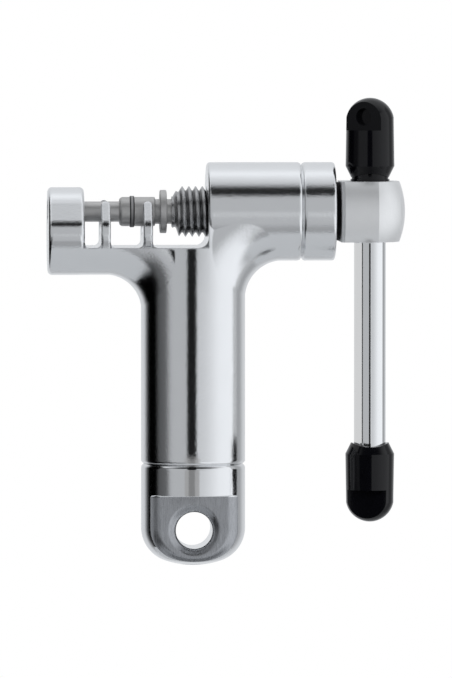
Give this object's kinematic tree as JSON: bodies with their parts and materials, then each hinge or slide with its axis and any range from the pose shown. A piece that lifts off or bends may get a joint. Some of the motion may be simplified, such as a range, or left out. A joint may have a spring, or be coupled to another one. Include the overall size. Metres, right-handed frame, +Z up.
{
  "type": "bicycle chain tool",
  "caption": "Bicycle chain tool: round handle with a screwed foot, a cradle with roller forks and an anvil, and a drive pin on a screw turned by a sliding tommy bar.",
  "frame": {"origin": "middle of the hanging hole in the foot", "axes": "+X along the drive screw from the anvil to the head, +Y away from the pictured front, +Z up the handle"},
  "size_m": [0.0563, 0.0164, 0.0736],
  "materials": {
    "body_steel": "polished satin plating",
    "foot_steel": "polished satin plating with brushed flats",
    "pin_steel": "matt hardened steel",
    "carrier_steel": "matt hardened steel",
    "black_ring": "matt black",
    "screw_steel": "dark steel thread",
    "head_steel": "satin steel",
    "bar_chrome": "bright chrome plating",
    "cap_plastic": "black plastic with a soft sheen"
  },
  "bodies": {
    "tool_body": {"body": "body_steel"},
    "pin_unit": {"drive_pin": "pin_steel", "pin_carrier": "carrier_steel", "pin_ring": "black_ring"},
    "screw_unit": {"spindle": "screw_steel", "head_washer": "black_ring", "head": "head_steel"},
    "lever": {"lever_bar": "bar_chrome", "lever_cap_upper": "cap_plastic", "lever_cap_lower": "cap_plastic"},
    "stored_pin": {"spare_pin": "pin_steel"},
    "foot": {"end_cap": "foot_steel"}
  },
  "joints": [
    {"name": "pin_advance", "type": "slide", "parent": "tool_body", "child": "pin_unit", "axis": [1, 0, 0], "range_m": [0, 0.01588]},
    {"name": "screw_turn", "type": "hinge", "parent": "pin_unit", "child": "screw_unit", "pos_m": [0, 0, 0.05], "axis": [1, 0, 0], "range_deg": [0, 5400]},
    {"name": "lever_slide", "type": "slide", "parent": "screw_unit", "child": "lever", "axis": [0, 0, 1], "range_m": [0, 0.0317]},
    {"name": "foot_travel", "type": "slide", "parent": "tool_body", "child": "stored_pin", "axis": [0, 0, -1], "range_m": [0, 0.006]},
    {"name": "foot_turn", "type": "hinge", "parent": "stored_pin", "child": "foot", "pos_m": [0, 0, 0], "axis": [0, 0, -1], "range_deg": [0, 2160]}
  ],
  "couplings": [
    {"joint": "pin_advance", "follows": "screw_turn", "m_per_rad": 0.00016844},
    {"joint": "foot_travel", "follows": "foot_turn", "m_per_rad": 0.00015915}
  ]
}
